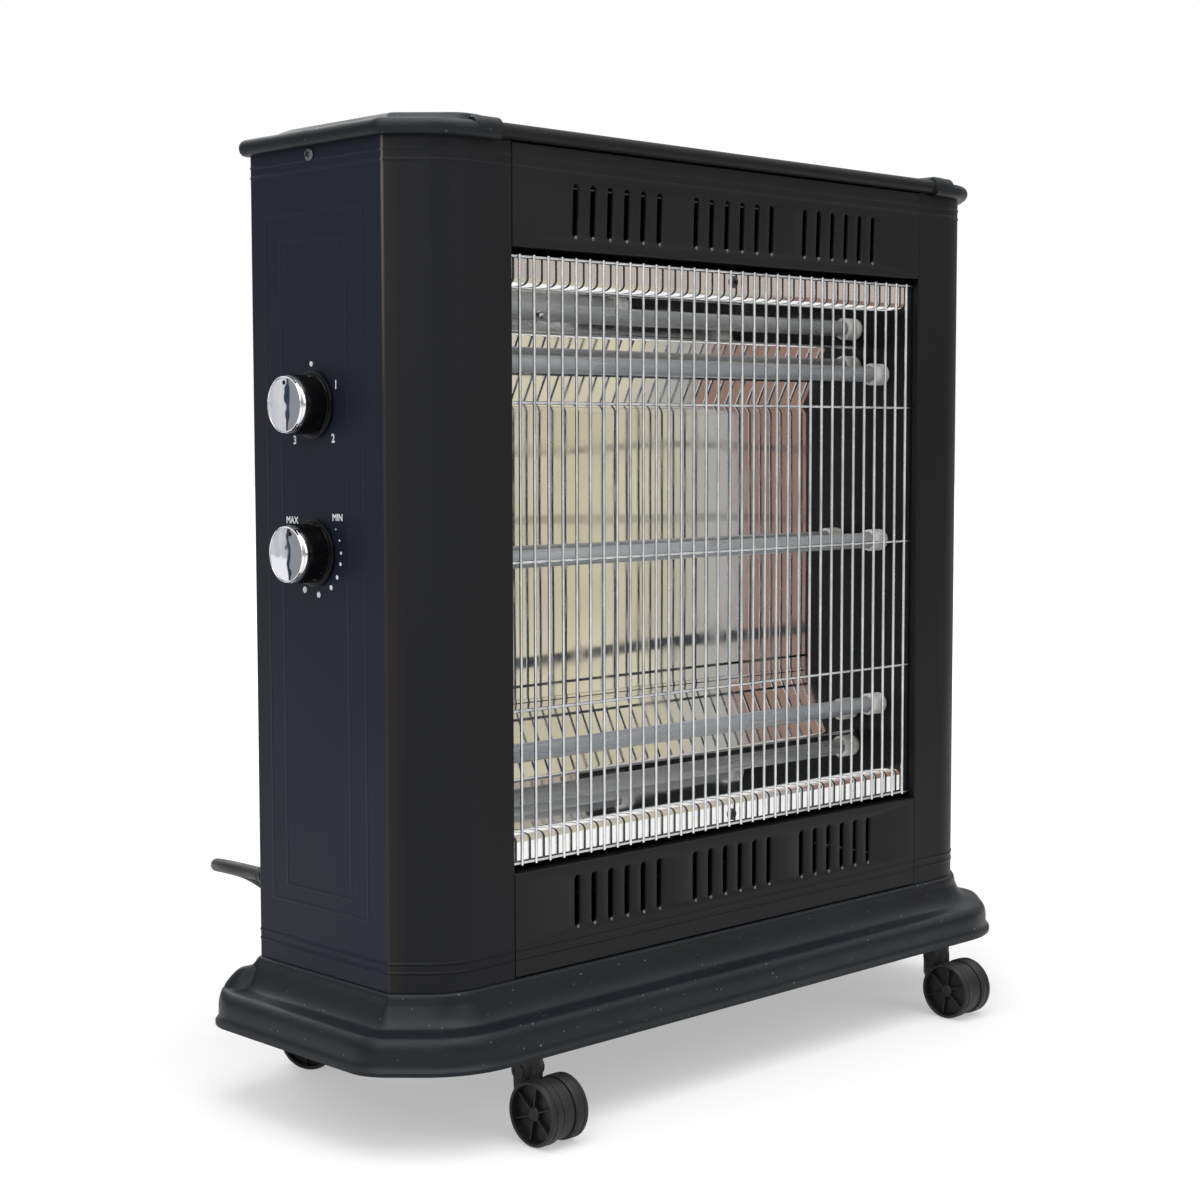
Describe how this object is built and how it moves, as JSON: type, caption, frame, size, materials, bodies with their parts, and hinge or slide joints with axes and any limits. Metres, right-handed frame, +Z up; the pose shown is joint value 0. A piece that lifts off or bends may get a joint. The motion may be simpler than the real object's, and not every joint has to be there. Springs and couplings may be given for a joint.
{
  "type": "quartz room heater",
  "caption": "Free-standing quartz room heater: folded steel casing on a moulded plinth with swivel casters, glowing tubes behind a wire guard, side dials and a mains cord.",
  "frame": {"origin": "on the floor, below the middle of the casing", "axes": "+X to the right seen from the front, +Y from the front to the back, +Z up; the wire guard faces -Y and the dials -X"},
  "size_m": [0.594, 0.3707, 0.5985],
  "materials": {
    "powder_coat": "satin charcoal powder coat",
    "moulding": "satin charcoal moulding",
    "black_plastic": "satin black",
    "knob_black": "gloss black",
    "knob_chrome": "chromed plastic",
    "chrome_wire": "bright chromed wire",
    "reflector_mirror": "polished, mirror bright",
    "zinc_steel": "zinc plated",
    "quartz": "frosted quartz glass",
    "ceramic": "white glazed ceramic",
    "heating_alloy": "dull resistance alloy",
    "cord_sheath": "smooth black sheath",
    "plug_moulding": "black moulding with bright pins",
    "sleeving": "dark brown heat-proof sleeving"
  },
  "bodies": {
    "heater": {"back_panel": "powder_coat", "bottom_fascia": "powder_coat", "cord_coil": "cord_sheath", "cord_strain_relief": "cord_sheath", "feed_loom": "sleeving", "heating_spiral_lower": "heating_alloy", "heating_spiral_middle": "heating_alloy", "heating_spiral_upper": "heating_alloy", "left_side_panel": "powder_coat", "mains_cord": "cord_sheath", "mains_plug": "plug_moulding", "plinth": "moulding", "plinth_floor": "black_plastic", "quartz_tube_lower": "quartz", "quartz_tube_middle": "quartz", "quartz_tube_upper": "quartz", "reflector": "reflector_mirror", "reflector_screw_lower": "zinc_steel", "reflector_screw_upper": "zinc_steel", "return_loom": "sleeving", "right_side_panel": "powder_coat", "roof_cap_left": "moulding", "roof_cap_right": "moulding", "roof_sheet": "powder_coat", "rotary_switch": "black_plastic", "side_screw": "zinc_steel", "terminal_block": "ceramic", "thermostat": "black_plastic", "top_fascia": "powder_coat", "tube_end_left_lower": "ceramic", "tube_end_left_middle": "ceramic", "tube_end_left_upper": "ceramic", "tube_end_right_lower": "ceramic", "tube_end_right_middle": "ceramic", "tube_end_right_upper": "ceramic", "tube_plate_left": "powder_coat", "tube_plate_right": "powder_coat", "wire_guard": "chrome_wire"},
    "rotary_switch_dial": {"rotary_switch_knob": "knob_black", "rotary_switch_knob_face": "knob_chrome", "rotary_switch_shaft": "zinc_steel"},
    "thermostat_dial": {"thermostat_knob": "knob_black", "thermostat_knob_face": "knob_chrome", "thermostat_shaft": "zinc_steel"},
    "caster_front_left": {"caster_frame_front_left": "black_plastic", "caster_axle_front_left": "zinc_steel"},
    "wheel_front_left_a": {"caster_wheel_front_left_a": "black_plastic"},
    "wheel_front_left_b": {"caster_wheel_front_left_b": "black_plastic"},
    "caster_front_right": {"caster_frame_front_right": "black_plastic", "caster_axle_front_right": "zinc_steel"},
    "wheel_front_right_a": {"caster_wheel_front_right_a": "black_plastic"},
    "wheel_front_right_b": {"caster_wheel_front_right_b": "black_plastic"},
    "caster_rear_left": {"caster_frame_rear_left": "black_plastic", "caster_axle_rear_left": "zinc_steel"},
    "wheel_rear_left_a": {"caster_wheel_rear_left_a": "black_plastic"},
    "wheel_rear_left_b": {"caster_wheel_rear_left_b": "black_plastic"},
    "caster_rear_right": {"caster_frame_rear_right": "black_plastic", "caster_axle_rear_right": "zinc_steel"},
    "wheel_rear_right_a": {"caster_wheel_rear_right_a": "black_plastic"},
    "wheel_rear_right_b": {"caster_wheel_rear_right_b": "black_plastic"}
  },
  "joints": [
    {"name": "rotary_switch_turn", "type": "hinge", "parent": "heater", "child": "rotary_switch_dial", "pos_m": [-0.268, 0.0155, 0.4325], "axis": [1, 0, 0], "range_deg": [0, 216]},
    {"name": "thermostat_turn", "type": "hinge", "parent": "heater", "child": "thermostat_dial", "pos_m": [-0.268, 0.0155, 0.3445], "axis": [1, 0, 0], "range_deg": [0, 290]},
    {"name": "caster_front_left_swivel", "type": "hinge", "parent": "heater", "child": "caster_front_left", "pos_m": [-0.199, -0.095, 0.05], "axis": [0, 0, 1], "continuous": true},
    {"name": "wheel_front_left_a_roll", "type": "hinge", "parent": "caster_front_left", "child": "wheel_front_left_a", "pos_m": [-0.199, -0.113, 0.0195], "axis": [-1, 0, 0], "continuous": true},
    {"name": "wheel_front_left_b_roll", "type": "hinge", "parent": "caster_front_left", "child": "wheel_front_left_b", "pos_m": [-0.199, -0.113, 0.0195], "axis": [-1, 0, 0], "continuous": true},
    {"name": "caster_front_right_swivel", "type": "hinge", "parent": "heater", "child": "caster_front_right", "pos_m": [0.199, -0.095, 0.05], "axis": [0, 0, 1], "continuous": true},
    {"name": "wheel_front_right_a_roll", "type": "hinge", "parent": "caster_front_right", "child": "wheel_front_right_a", "pos_m": [0.199, -0.113, 0.0195], "axis": [-1, 0, 0], "continuous": true},
    {"name": "wheel_front_right_b_roll", "type": "hinge", "parent": "caster_front_right", "child": "wheel_front_right_b", "pos_m": [0.199, -0.113, 0.0195], "axis": [-1, 0, 0], "continuous": true},
    {"name": "caster_rear_left_swivel", "type": "hinge", "parent": "heater", "child": "caster_rear_left", "pos_m": [-0.192, 0.095, 0.05], "axis": [0, 0, 1], "continuous": true},
    {"name": "wheel_rear_left_a_roll", "type": "hinge", "parent": "caster_rear_left", "child": "wheel_rear_left_a", "pos_m": [-0.20154, 0.11027, 0.0195], "axis": [0.848, 0.5299, 0], "continuous": true},
    {"name": "wheel_rear_left_b_roll", "type": "hinge", "parent": "caster_rear_left", "child": "wheel_rear_left_b", "pos_m": [-0.20154, 0.11027, 0.0195], "axis": [0.848, 0.5299, 0], "continuous": true},
    {"name": "caster_rear_right_swivel", "type": "hinge", "parent": "heater", "child": "caster_rear_right", "pos_m": [0.192, 0.095, 0.05], "axis": [0, 0, 1], "continuous": true},
    {"name": "wheel_rear_right_a_roll", "type": "hinge", "parent": "caster_rear_right", "child": "wheel_rear_right_a", "pos_m": [0.192, 0.113, 0.0195], "axis": [1, 0, 0], "continuous": true},
    {"name": "wheel_rear_right_b_roll", "type": "hinge", "parent": "caster_rear_right", "child": "wheel_rear_right_b", "pos_m": [0.192, 0.113, 0.0195], "axis": [1, 0, 0], "continuous": true}
  ]
}
